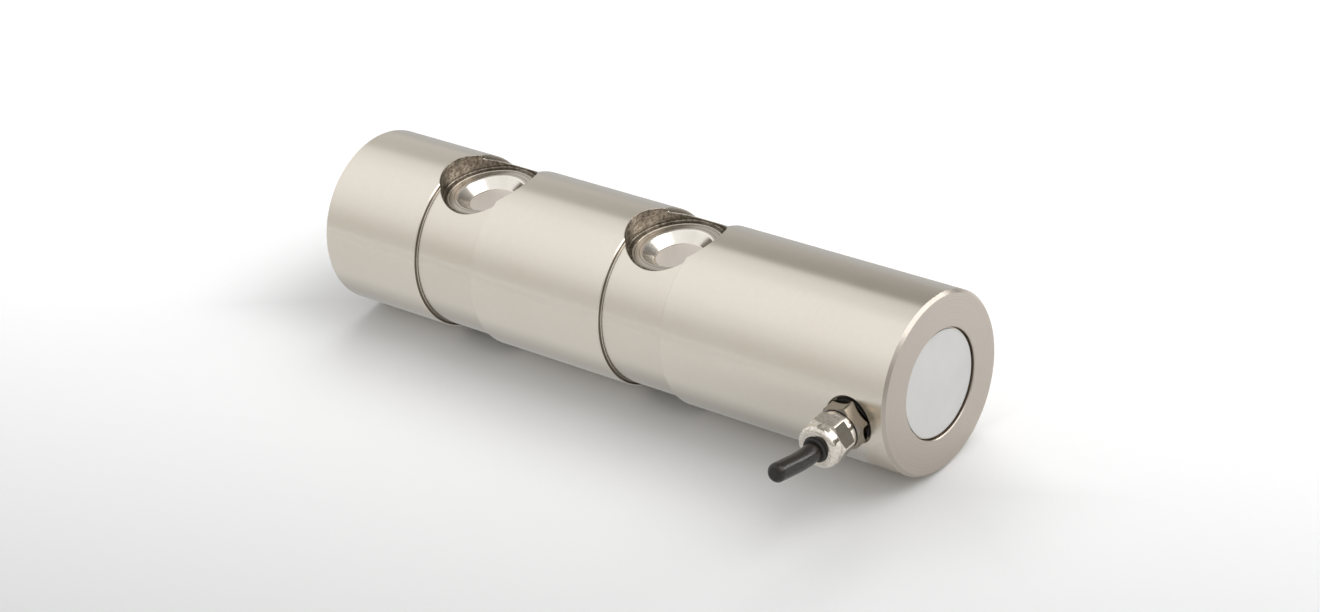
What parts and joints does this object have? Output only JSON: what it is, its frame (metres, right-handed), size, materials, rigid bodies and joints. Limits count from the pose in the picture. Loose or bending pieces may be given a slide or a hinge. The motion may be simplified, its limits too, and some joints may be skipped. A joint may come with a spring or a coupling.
{
  "type": "shear pin load cell",
  "caption": "Turned steel load pin with two grooves, four gauge pockets closed by dished cups, a recessed end label and a side cable gland with a short cable stub.",
  "frame": {"origin": "on the pin's axis at the middle of the load land, where the load acts", "axes": "+X along the pin to the cable end, +Z through the gauge pockets, -Y out of the cable gland"},
  "size_m": [0.2361, 0.0976, 0.06],
  "materials": {
    "pin_steel": "satin ground, warm nickel-like tone",
    "cup_steel": "bright drawn",
    "cover_steel": "turned",
    "label_grey": "matt anodised",
    "gland_nickel": "bright nickel plate",
    "washer_rubber": "matt black",
    "seal_rubber": "matt black",
    "claw_nylon": "matt",
    "cable_sheath": "satin black",
    "braid_tin": "tinned braid",
    "core_red": "smooth",
    "core_white": "smooth",
    "core_green": "smooth",
    "core_black": "smooth",
    "board_green": "solder mask",
    "pillar_brass": "turned",
    "screw_steel": "zinc",
    "resistor_blue": "lacquered",
    "gauge_film": "amber film",
    "terminal_copper": "tinned copper",
    "loom_sleeve": "woven sleeve"
  },
  "bodies": {
    "root": {"pin_body": "pin_steel", "pocket_cup_plain_top": "cup_steel", "strain_gauge_plain_top": "gauge_film", "solder_terminal_plain_top": "terminal_copper", "wire_loom_plain_top": "loom_sleeve", "pocket_cup_plain_bottom": "cup_steel", "strain_gauge_plain_bottom": "gauge_film", "solder_terminal_plain_bottom": "terminal_copper", "wire_loom_plain_bottom": "loom_sleeve", "pocket_cup_cable_top": "cup_steel", "strain_gauge_cable_top": "gauge_film", "solder_terminal_cable_top": "terminal_copper", "wire_loom_cable_top": "loom_sleeve", "pocket_cup_cable_bottom": "cup_steel", "strain_gauge_cable_bottom": "gauge_film", "solder_terminal_cable_bottom": "terminal_copper", "wire_loom_cable_bottom": "loom_sleeve", "circuit_board": "board_green", "board_pillars": "pillar_brass", "board_screws": "screw_steel", "trim_resistors": "resistor_blue", "end_cover": "cover_steel", "label_plate": "label_grey", "gland_washer": "washer_rubber", "gland_body": "gland_nickel", "gland_seal": "seal_rubber", "gland_claw": "claw_nylon", "gland_cap_nut": "gland_nickel", "cable_jacket": "cable_sheath", "cable_shield": "braid_tin", "core_red": "core_red", "core_white": "core_white", "core_green": "core_green", "core_black": "core_black"}
  },
  "joints": []
}
